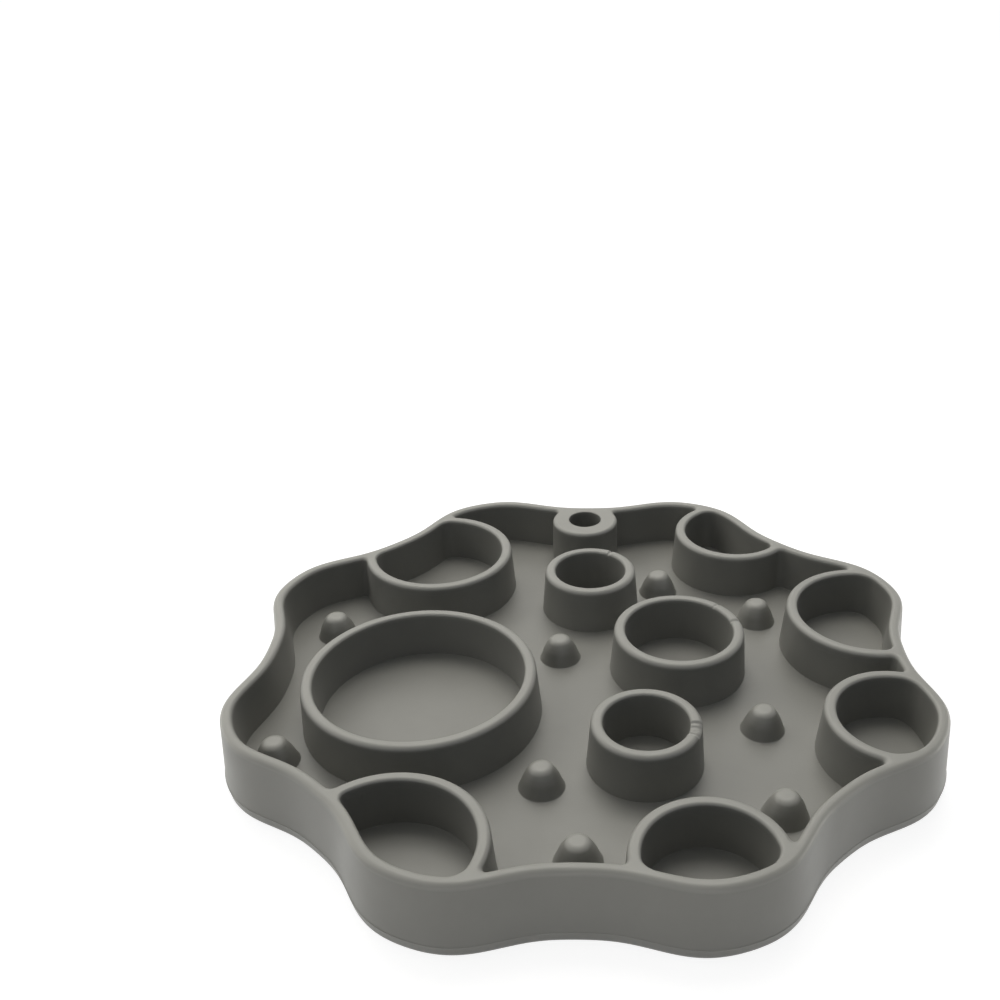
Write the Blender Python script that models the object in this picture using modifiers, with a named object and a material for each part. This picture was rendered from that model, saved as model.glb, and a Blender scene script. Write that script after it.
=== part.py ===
"""Slow feeder bowl: a reversible scalloped silicone mat with food cups on one side and a
lattice of lick rings on the other. Metres, +Z up, cup side up, hanging hole towards +Y."""

import math

import bmesh
import bpy

# Scalloped outline, measured at the mould parting line
HALF_WIDTH = 0.1072
HALF_DEPTH = 0.1014
LOBE_COUNT = 8
LOBE_DEPTH = 0.0061
LOBE_FLATTENING = 0.00034
STEPS_PER_LOBE = 12

# Heights
HEIGHT = 0.024
LICK_DEPTH = 0.003
WEB_THICKNESS = 0.0058
PARTING = 0.0044
LICK_ROUND = 0.0023

# Outer wall and lick-side rim
WALL_RIM = 0.0035
WALL_DRAUGHT = 0.0023
WALL_INNER_DRAUGHT = 0.0008
RIM_ROUND = 0.001
OUTER_RIM_ROUND = 0.0017
LICK_RIM_WIDTH = 0.0074
GROOVE_WIDTH = 0.004
BORDER_WIDTH = 0.0022

# Cups, with their places as shares of the half width and half depth
CUP_WALL = 0.0034
CUP_OUTER_DRAUGHT = 0.0013
CUP_INNER_DRAUGHT = 0.0006
CUP_STEPS = 32
CUPS = {
    "large_cup": (-0.462, -0.138, 0.0336),
    "back_cup": (0.012, 0.463, 0.0138),
    "middle_cup": (0.280, 0.100, 0.0189),
    "front_cup": (0.170, -0.362, 0.0141),
    "side_cup_back_left": (-0.495, 0.590, 0.0241),
    "side_cup_back_right": (0.496, 0.742, 0.0190),
    "side_cup_right": (0.857, 0.214, 0.0242),
    "side_cup_front_right": (0.842, -0.323, 0.0195),
    "side_cup_front": (0.303, -0.861, 0.0188),
    "side_cup_front_left": (-0.442, -0.829, 0.0241),
}

# Cone nubs on the tray floor, placed the same way
NUB_RADIUS = 0.0067
NUB_HEIGHT = 0.0083
NUB_TIP_RADIUS = 0.0026
NUB_STEPS = 16
NUB_PLACES = (
    (-0.791, 0.280),
    (-0.831, -0.370),
    (-0.077, 0.153),
    (-0.105, -0.469),
    (-0.003, -0.752),
    (0.238, 0.556),
    (0.545, 0.373),
    (0.503, -0.212),
    (0.518, -0.578),
)

# Hanging hole and its boss, set in from the back valley of the outline
HOLE_OFFSET = -0.0012
HOLE_INSET = 0.0124
HOLE_RADIUS = 0.0059
BOSS_RADIUS = 0.012
LICK_BOSS_RADIUS = 0.0137
HOLE_STEPS = 24

# Lick rings, placed in ring radii. A ring keeps its full circle where it meets a later one.
POCKET_RADIUS = 0.01675
RING_WALL = 0.0023
RING_STEPS = 24
RING_PLACES = (
    (1.29, 3.03),
    (-2.35, 1.58),
    (2.96, -0.14),
    (-2.41, -0.35),
    (2.02, -4.20),
    (0.12, -4.07),
    (-1.90, -4.04),
    (-0.27, 3.09),
    (1.59, 1.23),
    (2.78, 2.48),
    (-2.20, 3.25),
    (4.24, 1.30),
    (-0.40, 1.29),
    (-4.36, 1.68),
    (1.42, -0.65),
    (-4.15, -0.19),
    (3.93, -1.73),
    (2.15, -2.46),
    (0.25, -2.30),
    (-1.76, -2.19),
    (-3.80, -2.10),
    (-0.45, -0.47),
)

# Gap kept along each curved division line, and the overrun of each cutter
SEAM = 0.0003
OVERRUN = 0.002
CURVE_WELD = 0.000001
SCREW_WELD = 0.00001

# Steps of the small roundings, and the angles for sharp edges and for flat faces, in degrees
RIM_STEPS = 2
LICK_STEPS = 3
TIP_STEPS = 3
NOTCH_STEPS = 48
SHARP_ANGLE = 35.0
FLAT_ANGLE = 0.5

SILICONE_COLOUR = (0.27, 0.265, 0.245, 1.0)
SILICONE_ROUGHNESS = 0.6

# Levels and places that follow from the sizes above
WEB_TOP = LICK_DEPTH + WEB_THICKNESS
RING_RADIUS = POCKET_RADIUS + RING_WALL
GROOVE_INSET = LICK_RIM_WIDTH + GROOVE_WIDTH
BORDER_INSET = GROOVE_INSET + BORDER_WIDTH
WALL_FOOT_INSET = WALL_DRAUGHT + WALL_RIM + WALL_INNER_DRAUGHT
WALL_TOP_INSET = WALL_DRAUGHT + WALL_RIM
VALLEY = (HALF_WIDTH - LOBE_DEPTH + LOBE_FLATTENING) * HALF_DEPTH / HALF_WIDTH
HOLE = (HOLE_OFFSET, VALLEY - HOLE_INSET)


def clear_scene():
    for old in list(bpy.data.objects):
        bpy.data.objects.remove(old)


def new_collection(name):
    collection = bpy.data.collections.new(name)
    bpy.context.scene.collection.children.link(collection)
    return collection


def silicone(name):
    """Matt grey silicone, one material for each sub-part."""
    material = bpy.data.materials.new(name)
    material.use_nodes = True
    shader = material.node_tree.nodes["Principled BSDF"]
    shader.inputs["Base Color"].default_value = SILICONE_COLOUR
    shader.inputs["Roughness"].default_value = SILICONE_ROUGHNESS
    shader.inputs["Metallic"].default_value = 0.0
    return material


def add_part(name, mesh, location=(0.0, 0.0, 0.0)):
    """A visible sub-part, shaded smooth, with its own material."""
    part = bpy.data.objects.new(name, mesh)
    part.location = location
    part.parent = ROOT
    mesh.materials.append(silicone(name + "_silicone"))
    mesh.shade_smooth()
    mesh.set_sharp_from_angle(angle=math.radians(SHARP_ANGLE))
    PARTS.objects.link(part)
    return part


def add_cutter(name, mesh, location=(0.0, 0.0, 0.0), collection=None):
    """A hidden shape that only cuts, trims or joins other shapes."""
    cutter = bpy.data.objects.new(name, mesh)
    cutter.location = location
    cutter.parent = ROOT
    cutter.hide_render = True
    cutter.display_type = "WIRE"
    (collection or CUTTERS).objects.link(cutter)
    return cutter


def boolean(target, operation, other):
    """Boolean modifier against one object or a whole collection."""
    modifier = target.modifiers.new(operation.lower(), "BOOLEAN")
    modifier.operation = operation
    if isinstance(other, bpy.types.Collection):
        modifier.operand_type = "COLLECTION"
        modifier.collection = other
    else:
        modifier.object = other


def merge_flats(target):
    """Dissolve the edges that a Boolean leaves inside flat faces."""
    modifier = target.modifiers.new("merge_flats", "DECIMATE")
    modifier.decimate_type = "DISSOLVE"
    modifier.angle_limit = math.radians(FLAT_ANGLE)


def outline_point(angle, inset):
    """Point of the scalloped outline at a polar angle, moved inward along its normal."""
    phase = LOBE_COUNT * (angle - math.pi / 2)
    radius = HALF_WIDTH - LOBE_DEPTH * math.cos(phase) + LOBE_FLATTENING * math.cos(3 * phase)
    bend = LOBE_DEPTH * math.sin(phase) - 3 * LOBE_FLATTENING * math.sin(3 * phase)
    slope = LOBE_COUNT * bend
    squash = HALF_DEPTH / HALF_WIDTH
    tangent_x = slope * math.cos(angle) - radius * math.sin(angle)
    tangent_y = squash * (slope * math.sin(angle) + radius * math.cos(angle))
    length = math.hypot(tangent_x, tangent_y)
    x = radius * math.cos(angle) - inset * tangent_y / length
    y = squash * radius * math.sin(angle) + inset * tangent_x / length
    return x, y


def outline(inset):
    """The whole outline, counter-clockwise, at an inset from the parting line."""
    count = LOBE_COUNT * STEPS_PER_LOBE
    return [outline_point(2 * math.pi * step / count, inset) for step in range(count)]


def closed_curve(name, points):
    """Closed flat polyline."""
    data = bpy.data.curves.new(name, "CURVE")
    data.dimensions = "2D"
    spline = data.splines.new("POLY")
    spline.points.add(len(points) - 1)
    for place, (x, y) in zip(spline.points, points):
        place.co = (x, y, 0.0, 1.0)
    spline.use_cyclic_u = True
    return data


def mesh_from_curve(name, data, helpers=()):
    """Evaluated mesh of a curve, with its loose caps welded."""
    curve = bpy.data.objects.new(name + "_curve", data)
    bpy.context.scene.collection.objects.link(curve)
    graph = bpy.context.evaluated_depsgraph_get()
    mesh = bpy.data.meshes.new_from_object(curve.evaluated_get(graph))
    mesh.name = name
    for used in (curve, *helpers):
        bpy.data.objects.remove(used)
    body = bmesh.new()
    body.from_mesh(mesh)
    bmesh.ops.remove_doubles(body, verts=body.verts, dist=CURVE_WELD)
    bmesh.ops.recalc_face_normals(body, faces=body.faces)
    body.to_mesh(mesh)
    body.free()
    return mesh


def plate(name, points, bottom, top):
    """Flat outline extruded between two levels."""
    data = closed_curve(name, points)
    data.fill_mode = "BOTH"
    data.extrude = (top - bottom) / 2
    mesh = mesh_from_curve(name, data)
    for vertex in mesh.vertices:
        vertex.co.z = top if vertex.co.z > 0 else bottom
    return mesh


def swept_ring(name, profile):
    """Closed profile of (inset, height) points, carried round the outline."""
    section = closed_curve(name + "_section", profile)
    section_object = bpy.data.objects.new(name + "_section", section)
    bpy.context.scene.collection.objects.link(section_object)
    data = closed_curve(name, outline(0.0))
    data.bevel_mode = "OBJECT"
    data.bevel_object = section_object
    return mesh_from_curve(name, data, [section_object])


def turning_profile(name, profile, closed):
    """Line of (radius, height) points for a Screw modifier. It runs down its outer side."""
    mesh = bpy.data.meshes.new(name)
    body = bmesh.new()
    corners = [body.verts.new((radius, 0.0, height)) for radius, height in profile]
    for first, second in zip(corners, corners[1:]):
        body.edges.new((first, second))
    if closed:
        body.edges.new((corners[-1], corners[0]))
    body.to_mesh(mesh)
    body.free()
    return mesh


def add_screw(part, steps):
    """Screw modifier that turns a profile into a closed ring or a solid."""
    screw = part.modifiers.new("turn", "SCREW")
    screw.axis = "Z"
    screw.steps = steps
    screw.render_steps = steps
    screw.use_merge_vertices = True
    screw.merge_threshold = SCREW_WELD
    screw.use_normal_calculate = False


def cylinder_mesh(name, radius, depth, steps):
    """Cylinder about its own middle."""
    body = bmesh.new()
    bmesh.ops.create_cone(
        body, cap_ends=True, segments=steps, radius1=radius, radius2=radius, depth=depth
    )
    mesh = bpy.data.meshes.new(name)
    body.to_mesh(mesh)
    body.free()
    return mesh


def cylinder(name, radius, bottom, top, place, steps, collection=None):
    """Cylinder cutter standing at a place in plan."""
    middle = (place[0], place[1], (bottom + top) / 2)
    mesh = cylinder_mesh(name, radius, top - bottom, steps)
    return add_cutter(name, mesh, middle, collection)


def arc(centre, radius, start, end, steps):
    """Points of a circular arc between two angles in degrees."""
    points = []
    for step in range(steps + 1):
        angle = math.radians(start + (end - start) * step / steps)
        points.append((centre[0] + radius * math.cos(angle), centre[1] + radius * math.sin(angle)))
    return points


def add_web():
    """Floor between the two sides."""
    mesh = plate("floor_web", outline(WALL_FOOT_INSET + SEAM), LICK_DEPTH, WEB_TOP)
    boolean(add_part("floor_web", mesh), "DIFFERENCE", HOLE_CUTTER)


def add_outer_wall():
    """Scalloped wall with its rounded rim, parting edge and draughted faces."""
    inner = (WALL_TOP_INSET - RIM_ROUND, HEIGHT - RIM_ROUND)
    outer = (WALL_DRAUGHT + OUTER_RIM_ROUND, HEIGHT - OUTER_RIM_ROUND)
    profile = [
        (0.0, LICK_DEPTH),
        (WALL_FOOT_INSET, LICK_DEPTH),
        (WALL_FOOT_INSET, WEB_TOP),
        *arc(inner, RIM_ROUND, 0, 90, RIM_STEPS),
        *arc(outer, OUTER_RIM_ROUND, 90, 180, RIM_STEPS),
        (0.0, PARTING),
    ]
    boolean(add_part("outer_wall", swept_ring("outer_wall", profile)), "DIFFERENCE", HOLE_CUTTER)


def add_lick_rim():
    """Broad lick-side rim that the mat rests on, with the flat round the hanging hole."""
    profile = [
        (LICK_RIM_WIDTH, 0.0),
        (LICK_RIM_WIDTH, LICK_DEPTH),
        (0.0, LICK_DEPTH),
        *arc((LICK_ROUND, LICK_ROUND), LICK_ROUND, 180, 270, LICK_STEPS),
    ]
    rim = add_part("lick_rim", swept_ring("lick_rim", profile))
    flat = cylinder("lick_boss", LICK_BOSS_RADIUS, 0.0, LICK_DEPTH, HOLE, HOLE_STEPS)
    edge = plate("lick_boss_edge", outline(LICK_ROUND), -OVERRUN, LICK_DEPTH + OVERRUN)
    boolean(flat, "INTERSECT", add_cutter("lick_boss_edge", edge))
    boolean(rim, "UNION", flat)
    boolean(rim, "DIFFERENCE", HOLE_CUTTER)


def ridge_region(name, inset, boss_gap, bottom, top):
    """Area inside the lick rim, kept clear of the hanging boss."""
    region = add_cutter(name, plate(name, outline(inset), bottom, top))
    radius = LICK_BOSS_RADIUS + boss_gap
    notch = cylinder(name + "_notch", radius, bottom - OVERRUN, top + OVERRUN, HOLE, NOTCH_STEPS)
    boolean(region, "DIFFERENCE", notch)
    return region


def add_border_ridge():
    """Wavy ridge that runs inside the groove and bends round the hanging boss."""
    mesh = plate("border_ridge", outline(GROOVE_INSET), 0.0, LICK_DEPTH)
    ridge = add_part("border_ridge", mesh)
    radius = LICK_BOSS_RADIUS + GROOVE_WIDTH
    low, high = -OVERRUN, LICK_DEPTH + OVERRUN
    notch = cylinder("groove_notch", radius, low, high, HOLE, NOTCH_STEPS)
    inside = ridge_region("border_inside", BORDER_INSET, GROOVE_WIDTH + BORDER_WIDTH, low, high)
    boolean(ridge, "DIFFERENCE", notch)
    boolean(ridge, "DIFFERENCE", inside)
    merge_flats(ridge)


def add_ring_lattice():
    """Ring ridges, joined where they touch, trimmed along the border ridge."""
    rings = new_collection("ring_discs")
    pockets = new_collection("ring_pockets")
    low, high = -OVERRUN, LICK_DEPTH + OVERRUN
    guard_low, guard_high = low - OVERRUN, high + OVERRUN
    places = [(u * RING_RADIUS, v * RING_RADIUS) for u, v in RING_PLACES]
    guards = []
    for index, place in enumerate(places):
        pocket = cylinder(f"pocket_{index}", POCKET_RADIUS, low, high, place, RING_STEPS, pockets)
        for earlier, guard in zip(places, guards):
            if math.dist(earlier, place) < POCKET_RADIUS + RING_RADIUS:
                boolean(pocket, "DIFFERENCE", guard)
        name = f"ring_guard_{index}"
        guards.append(cylinder(name, RING_RADIUS, guard_low, guard_high, place, RING_STEPS))
    for index, place in enumerate(places[1:], start=1):
        cylinder(f"ring_{index}", RING_RADIUS, 0.0, LICK_DEPTH, place, RING_STEPS, rings)
    mesh = cylinder_mesh("ring_lattice", RING_RADIUS, LICK_DEPTH, RING_STEPS)
    lattice = add_part("ring_lattice", mesh, (places[0][0], places[0][1], LICK_DEPTH / 2))
    gap = GROOVE_WIDTH + BORDER_WIDTH + SEAM
    boolean(lattice, "UNION", rings)
    boolean(lattice, "INTERSECT", ridge_region("lattice_region", BORDER_INSET + SEAM, gap, low, high))
    boolean(lattice, "DIFFERENCE", pockets)
    merge_flats(lattice)


def plan_place(share):
    """Place in plan from shares of the half width and half depth."""
    return share[0] * HALF_WIDTH, share[1] * HALF_DEPTH


def reaches_wall(place, radius):
    """Whether a circle on the floor crosses the foot of the outer wall."""
    return any(math.dist(place, point) < radius for point in outline(WALL_FOOT_INSET + SEAM))


def add_cup(name, share, radius):
    """Round cup wall with a rounded rim, wider at its foot, open to the floor inside."""
    place = plan_place(share)
    outer = radius + CUP_WALL / 2
    inner = radius - CUP_WALL / 2
    foot = outer + CUP_OUTER_DRAUGHT
    shoulder = HEIGHT - RIM_ROUND
    profile = [
        *arc((outer - RIM_ROUND, shoulder), RIM_ROUND, 90, 0, RIM_STEPS),
        (foot, WEB_TOP),
        (inner - CUP_INNER_DRAUGHT, WEB_TOP),
        *arc((inner + RIM_ROUND, shoulder), RIM_ROUND, 180, 90, RIM_STEPS),
    ]
    cup = add_part(name, turning_profile(name, profile, True), (place[0], place[1], 0.0))
    add_screw(cup, CUP_STEPS)
    if reaches_wall(place, foot):
        boolean(cup, "INTERSECT", WALL_INSIDE)


def add_nub(name, share):
    """Rounded cone that stands on the tray floor."""
    place = plan_place(share)
    top = WEB_TOP + NUB_HEIGHT
    lean = math.degrees(math.atan2(NUB_RADIUS - NUB_TIP_RADIUS, NUB_HEIGHT - NUB_TIP_RADIUS))
    tip = arc((0.0, top - NUB_TIP_RADIUS), NUB_TIP_RADIUS, 90, lean, TIP_STEPS)
    profile = [(0.0, top), *tip[1:], (NUB_RADIUS, WEB_TOP), (0.0, WEB_TOP)]
    nub = add_part(name, turning_profile(name, profile, False), (place[0], place[1], 0.0))
    add_screw(nub, NUB_STEPS)


def add_hanging_boss():
    """Half-round pillar against the back wall that carries the hanging hole."""
    mesh = cylinder_mesh("hanging_boss", BOSS_RADIUS, HEIGHT - WEB_TOP, HOLE_STEPS)
    boss = add_part("hanging_boss", mesh, (HOLE[0], HOLE[1], (WEB_TOP + HEIGHT) / 2))
    boolean(boss, "INTERSECT", WALL_INSIDE)
    boolean(boss, "DIFFERENCE", HOLE_CUTTER)


def wall_inside():
    """Space inside the outer wall, with the wall's own draught and a seam gap."""
    span = HEIGHT - WEB_TOP
    rise = OVERRUN / span
    mesh = plate("wall_inside", outline(0.0), WEB_TOP - OVERRUN, HEIGHT + OVERRUN)
    low = outline(WALL_FOOT_INSET + SEAM + rise * WALL_INNER_DRAUGHT)
    high = outline(WALL_TOP_INSET + SEAM - rise * WALL_INNER_DRAUGHT)
    rim = outline(0.0)
    for vertex in mesh.vertices:
        index = min(range(len(rim)), key=lambda step: math.dist(rim[step], vertex.co.xy))
        vertex.co.xy = high[index] if vertex.co.z > WEB_TOP else low[index]
    return add_cutter("wall_inside", mesh)


clear_scene()
PARTS = new_collection("slow_feeder_bowl")
CUTTERS = new_collection("cutters")
ROOT = bpy.data.objects.new("slow_feeder_bowl", None)
PARTS.objects.link(ROOT)
HOLE_CUTTER = cylinder("hanging_hole", HOLE_RADIUS, -OVERRUN, HEIGHT + OVERRUN, HOLE, HOLE_STEPS)
WALL_INSIDE = wall_inside()

add_web()
add_outer_wall()
add_lick_rim()
add_border_ridge()
add_ring_lattice()
for cup_name, (across, along, cup_radius) in CUPS.items():
    add_cup(cup_name, (across, along), cup_radius)
for number, nub_share in enumerate(NUB_PLACES, start=1):
    add_nub(f"cone_nub_{number}", nub_share)
add_hanging_boss()
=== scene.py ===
"""Looks of the slow feeder bowl: one grey silicone moulding, cup side up, around its CAD frame."""

import math

import bmesh
import bpy
import numpy as np
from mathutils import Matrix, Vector
from mathutils.geometry import delaunay_2d_cdt


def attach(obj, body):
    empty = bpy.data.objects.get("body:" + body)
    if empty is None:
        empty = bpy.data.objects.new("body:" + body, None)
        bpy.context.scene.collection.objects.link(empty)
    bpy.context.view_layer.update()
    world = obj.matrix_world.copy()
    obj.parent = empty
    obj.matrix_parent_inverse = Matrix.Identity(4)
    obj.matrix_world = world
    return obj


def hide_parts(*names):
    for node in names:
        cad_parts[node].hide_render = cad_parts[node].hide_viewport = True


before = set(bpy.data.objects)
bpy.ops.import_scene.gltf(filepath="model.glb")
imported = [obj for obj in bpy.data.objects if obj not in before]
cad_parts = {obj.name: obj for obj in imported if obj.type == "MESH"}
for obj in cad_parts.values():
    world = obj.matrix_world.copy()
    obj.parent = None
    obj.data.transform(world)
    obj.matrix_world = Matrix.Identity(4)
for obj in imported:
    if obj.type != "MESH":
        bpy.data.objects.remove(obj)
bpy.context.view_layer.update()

MM = 0.001

# Scalloped outline, in millimetres like every size of the mat below
HALF_WIDTH = 107.2
HALF_DEPTH = 101.4
LOBES = 8
LOBE_DEPTH = 6.1
LOBE_FLATTENING = 0.34
FLATTENING_WAVES = 3
SQUASH = HALF_DEPTH / HALF_WIDTH
OUTLINE_STEPS = 760

# Levels above the plane that the mat rests on
HEIGHT = 24.0
FLOOR = 8.8
LICK_FLOOR = 3.0
PARTING = 4.4

# Outer wall: a draught is how far a face leans over its height, and shares are heights of rings
WALL_RIM = 3.5
WALL_DRAUGHT = 2.3
WALL_INNER_DRAUGHT = 0.8
WALL_TOP_INSET = WALL_DRAUGHT + WALL_RIM
WALL_SHARES = (0.66, 0.33)
LICK_ROUND = 2.3
LICK_DRAUGHT = 0.1

# Raised parting line, kept just inside the outline: its section is height and depth, as shares
OUTER_MARGIN = 0.15
FLASH_TALL = 0.2
FLASH_PROUD = 0.2
FLASH_SECTION = ((1, 1), (1 / 3, 1 / 4), (0, 0), (-1 / 3, 1 / 4), (-1, 1))

# Rounding of the rims inside the cups, on the tray side and outside, and of the feet of the walls
INNER_RIM_ROUND = 1.0
TRAY_RIM_ROUND = 1.3
OUTER_RIM_ROUND = 1.7
FOOT_ROUND = 0.05

# Cups: place in plan as shares of the half width and half depth, and centre-line radius
CUP_WALL = 3.4
CUP_OUTER_DRAUGHT = 1.3
CUP_INNER_DRAUGHT = 0.6
SIDE_CUP_DRAUGHT = 1.0
CUP_WALL_SHARES = (0.84, 0.68, 0.52, 0.36, 0.2)
FREE_CUPS = {
    "large_cup": (-0.462, -0.138, 33.6),
    "back_cup": (0.012, 0.463, 13.8),
    "middle_cup": (0.280, 0.100, 18.9),
    "front_cup": (0.170, -0.362, 14.1),
}
SIDE_CUPS = {
    "side_cup_back_left": (-0.495, 0.590, 24.1),
    "side_cup_back_right": (0.496, 0.742, 19.0),
    "side_cup_right": (0.857, 0.214, 24.2),
    "side_cup_front_right": (0.842, -0.323, 19.5),
    "side_cup_front": (0.303, -0.861, 18.8),
    "side_cup_front_left": (-0.442, -0.829, 24.1),
}

# Worn nicks in the rims: angle in degrees, half width and depth, and how far down they reach
NICKS = {
    "back_cup": ((59.7, 0.6, 0.5),),
    "middle_cup": ((46.9, 0.45, 0.3), (14.9, 0.7, 0.55)),
    "front_cup": ((-2.0, 0.7, 0.6), (-8.5, 1.4, 1.1), (-15.0, 1.3, 0.8), (-21.0, 0.8, 1.0)),
}
NICK_REACH = 2.4

# Corners in plan where the side cups run into the wall: on the tray side, inside, and the least one
CREVICE_ROUND = 2.2
POCKET_CORNER = 2.6
LEAST_CORNER = 0.6

# Fine mould line round the side cups, below their rims, with the rings that draw it
WITNESS_DROP = 3.0
WITNESS_PROUD = 0.04
WITNESS_HALF_TALL = 0.05
WITNESS_STEPS = (0.25, 0.1, 0.0, -0.1, -0.25)

# Cones on the tray floor, placed like the cups
CONE_FOOT = 6.65
CONE_WAIST = 5.2
CONE_TIP = 3.05
CONE_HEIGHT = 7.8
CONE_WAIST_HEIGHT = 4.0
CONE_TIP_ROUND = 2.6
CONE_WAIST_ROUND = 12.0
CONE_FOOT_ROUND = 0.4
CONE_PLACES = (
    (-0.791, 0.280),
    (-0.831, -0.370),
    (-0.077, 0.153),
    (-0.105, -0.469),
    (-0.003, -0.752),
    (0.238, 0.556),
    (0.545, 0.373),
    (0.503, -0.212),
    (0.518, -0.578),
)

# Hanging hole, set in from the valley of the outline behind it, and its bosses
VALLEY = (HALF_WIDTH - LOBE_DEPTH + LOBE_FLATTENING) * SQUASH
HOLE_ACROSS = -1.2
HOLE_SET_IN = 12.4
HOLE = (HOLE_ACROSS, VALLEY - HOLE_SET_IN)
HOLE_RADIUS = 5.9
HOLE_ROUND = 0.4
BOSS_RADIUS = 12.0
BOSS_DRAUGHT = 0.3
LICK_BOSS_RADIUS = 13.7
LICK_BOSS_FILLET = 4.5

# Lick side: rim, groove, border ridge and rings, with the rings placed in ring radii
LICK_RIM_WIDTH = 7.4
GROOVE_WIDTH = 4.0
BORDER_WIDTH = 2.2
GROOVE_INSET = LICK_RIM_WIDTH + GROOVE_WIDTH
BORDER_INSET = GROOVE_INSET + BORDER_WIDTH
RIDGE_ROUND = 0.75
RIDGE_FOOT = 0.6
RIDGE_CORNER = 0.9
BORDER_CORNER = 2.4
POCKET_RADIUS = 16.75
RING_RADIUS = 19.05
RING_PLACES = (
    (1.29, 3.03),
    (-2.35, 1.58),
    (2.96, -0.14),
    (-2.41, -0.35),
    (2.02, -4.20),
    (0.12, -4.07),
    (-1.90, -4.04),
    (-0.27, 3.09),
    (1.59, 1.23),
    (2.78, 2.48),
    (-2.20, 3.25),
    (4.24, 1.30),
    (-0.40, 1.29),
    (-4.36, 1.68),
    (1.42, -0.65),
    (-4.15, -0.19),
    (3.93, -1.73),
    (2.15, -2.46),
    (0.25, -2.30),
    (-1.76, -2.19),
    (-3.80, -2.10),
    (-0.45, -0.47),
)

# How far pieces sink into the body, how deep their hidden feet go, and the spread of a rounded foot
SINK = 0.02
BURY = 0.4
FLARE = 1.2

# Finding the loops of a field: grid, depth at which distances are cut off, and least loop area
GRID = 0.4
DEEP = 22.0
LEAST_AREA = 1.5

# Settling points on a field: rounds, reach of a slope, longest move and least steepness
INSET_STEPS = 8
SETTLE_STEPS = 4
EASE_STEPS = 8
SETTLE_REACH = 0.01
SETTLE_LIMIT = 0.6
LEAST_STEEP = 0.05

# Spacing points along a loop: step lengths, turn for each step, and reaches counted in dense steps
COARSE_STEP = 1.1
DENSE_STEP = 0.11
FINE_STEP = 0.06
STEP_TURN = 0.16
LEAST_TURN = 1e-6
CHORD_REACH = 3
TURN_REACH = 2
SMOOTH_REACH = 4

# Steps of the rounded edges and of the round pieces
ROUND_STEPS = 6
RIDGE_STEPS = 4
HOLE_ROUND_STEPS = 3
FILLET_STEPS = 10
HOLE_STEPS = 96
CUP_STEPS = 320
CONE_STEPS = 72

# Closest that two points stay apart: in a flat face, in millimetres, and in a turned piece, in metres
FLAT_MERGE = 1e-7
TURNED_MERGE = 1e-6

# Silicone: mottling as place in its noise and colour, and each noise as scale, detail and roughness
MOTTLE = ((0.3, (0.233, 0.230, 0.213, 1.0)), (0.7, (0.253, 0.250, 0.232, 1.0)))
MOTTLE_NOISE = (38.0, 6.0, 0.6)
SHEEN_NOISE = (120.0, 3.0, 0.5)
SKIN_NOISE = (2600.0, 2.0, 0.5)
ROUGHNESS = (0.38, 0.5)
SKIN_STRENGTH = 0.05
SKIN_DEPTH = 0.0003
SILICONE_IOR = 1.42
SILICONE_SPECULAR = 0.7

# Painted highlight: how much lighter the tops are painted, and how far below a top the painted
# highlight starts and is full
PAINTED_HIGHLIGHT_GAIN = 1.38
RIM_HIGHLIGHT_DROPS = (2.0, 0.5)
TIP_HIGHLIGHT_DROPS = (2.6, 0.4)

# Studio floor, in metres: paper to the object, and to the camera a veil and a glow that rises outwards
FLOOR_REACH = 4.0
FLOOR_LEVEL = -0.00005
PAPER = (0.95, 0.95, 0.95, 1.0)
VEIL = (0.35, 0.35, 0.35, 1.0)
GLOW_REACH = (0.1, 0.4)
GLOW = (0.88, 1.0)

# Studio lights, in metres and watts: a cool fill, soft lamps high up and low strips for the outer wall
LIGHT_TARGET = (0.0, 0.0, 0.013)
LIGHT_COLOUR = (1.0, 0.98, 0.91)
FILL_COLOUR = (0.84, 0.97, 1.18, 1.0)
FILL_STRENGTH = 0.07
SOFTBOXES = {
    "back_light": ((0.0, 0.42, 0.95), (0.6, 0.4), 3.6),
    "top_light": ((0.0, 0.1, 1.0), (0.5, 0.4), 0.8),
    "low_back_light": ((0.0, 0.8, 0.7), (0.7, 0.5), 1.3),
    "back_left_light": ((-0.6, 0.6, 0.7), (0.7, 0.7), 2.4),
    "left_light": ((-0.8, 0.0, 0.6), (0.6, 0.6), 1.2),
    "front_strip": ((0.0, -0.6, 0.02), (0.55, 0.03), 0.44),
    "left_strip": ((-0.6, 0.12, 0.02), (0.55, 0.03), 0.53),
    "right_strip": ((0.6, 0.12, 0.02), (0.55, 0.03), 0.9),
}

# White, and the ends of a value that runs from none to all
WHITE = (1.0, 1.0, 1.0, 1.0)
WHOLE = (0.0, 1.0)

# Sockets of a mix node's colours, which share their names with its other sockets
MIX_FACTOR = 0
MIX_FIRST_COLOUR = 6
MIX_SECOND_COLOUR = 7
MIX_COLOUR = 2

# Camera of the view that shows the cup side: place and sensor in millimetres, turn in degrees
CAMERA_PLACE = (6.410, -269.014, 211.535)
CAMERA_TURN = (55.1601, 0.6919, 1.3274)
CAMERA_LENS = 37.976
CAMERA_SHIFT = (-0.07745, 0.14555)
CAMERA_SENSOR = 36.0
CAMERA_CLIP = 10.0


def plan(share):
    """Place in plan from shares of the half width and half depth."""
    return share[0] * HALF_WIDTH, share[1] * HALF_DEPTH


def lobe_radius(phase):
    """Radius of the outline before it is squashed in depth."""
    flattening = LOBE_FLATTENING * np.cos(FLATTENING_WAVES * phase)
    return HALF_WIDTH - LOBE_DEPTH * np.cos(phase) + flattening


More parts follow.
